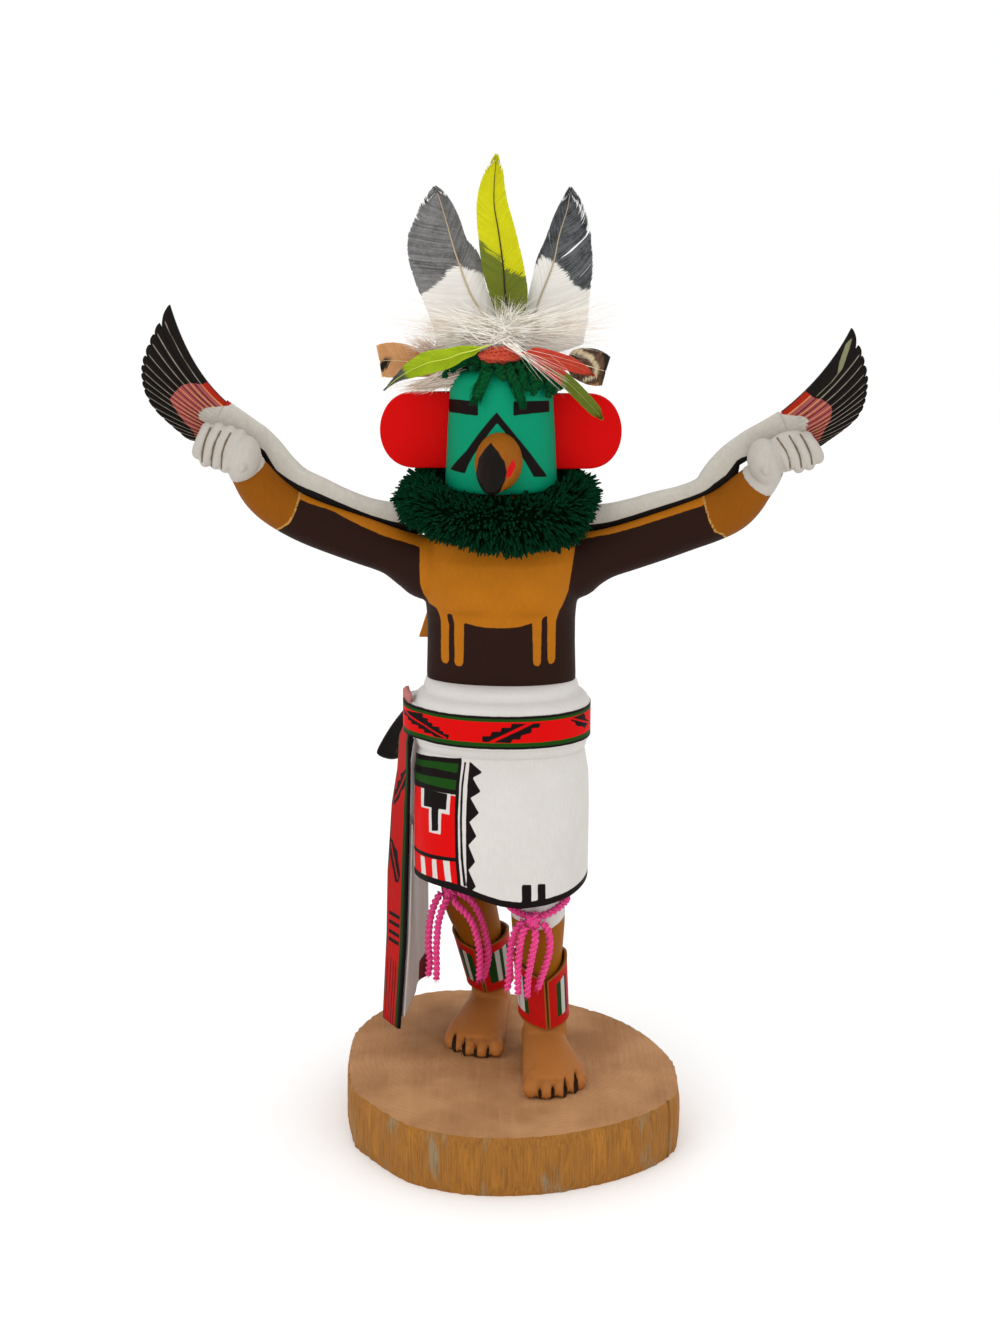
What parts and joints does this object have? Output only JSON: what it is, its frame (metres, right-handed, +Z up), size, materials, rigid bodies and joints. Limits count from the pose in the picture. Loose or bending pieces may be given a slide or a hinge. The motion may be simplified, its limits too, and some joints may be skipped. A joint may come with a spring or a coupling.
{
  "type": "carved kachina doll",
  "caption": "Carved and painted eagle dancer doll with raised winged arms, cylinder mask, yarn ruff and feathers, standing on a sawn log slice.",
  "frame": {"origin": "centre of the log slice's underside, at the level it stands on", "axes": "+Z up; the doll faces -Y; the viewer's right is +X; +Z is the longest extent"},
  "size_m": [0.2968, 0.1579, 0.4113],
  "materials": {
    "log wood": "sawn, bare",
    "painted wood": "carved and painted, matt",
    "ochre paint": "carved and painted ochre, matt",
    "black paint": "carved and painted black, satin",
    "red paint": "carved and painted red, satin",
    "green yarn": "wool yarn, cut ends",
    "red yarn": "wool yarn, wound",
    "pink yarn": "twisted yarn",
    "white down": "loose down",
    "grey feather": "feather",
    "yellow feather": "feather",
    "red feather": "feather",
    "barred feather": "feather",
    "leather": "thin painted leather"
  },
  "bodies": {
    "root": {"base_slab": "log wood", "carved_figure": "painted wood", "beak": "ochre paint", "ear_tab_left": "red paint", "ear_tab_right": "red paint", "wing_left": "black paint", "wing_right": "black paint", "tail_fan": "black paint", "back_panel": "ochre paint", "side_sash": "red paint", "sash_flap": "painted wood", "yarn_ruff": "green yarn", "crown_yarn": "green yarn", "feather_binding": "red yarn", "down_fluff": "white down", "feather_grey": "grey feather", "feather_yellow": "yellow feather", "feather_dark": "grey feather", "feather_lime": "yellow feather", "feather_parrot": "red feather", "feather_pheasant_left": "barred feather", "feather_pheasant_right": "barred feather", "ankle_cuff_left": "leather", "ankle_cuff_right": "leather", "knee_tie_left": "pink yarn", "knee_tie_right": "pink yarn", "tie_strand_left_1": "pink yarn", "tie_strand_left_2": "pink yarn", "tie_strand_left_3": "pink yarn", "tie_strand_left_4": "pink yarn", "tie_strand_right_1": "pink yarn", "tie_strand_right_2": "pink yarn", "tie_strand_right_3": "pink yarn", "tie_strand_right_4": "pink yarn"}
  },
  "joints": []
}
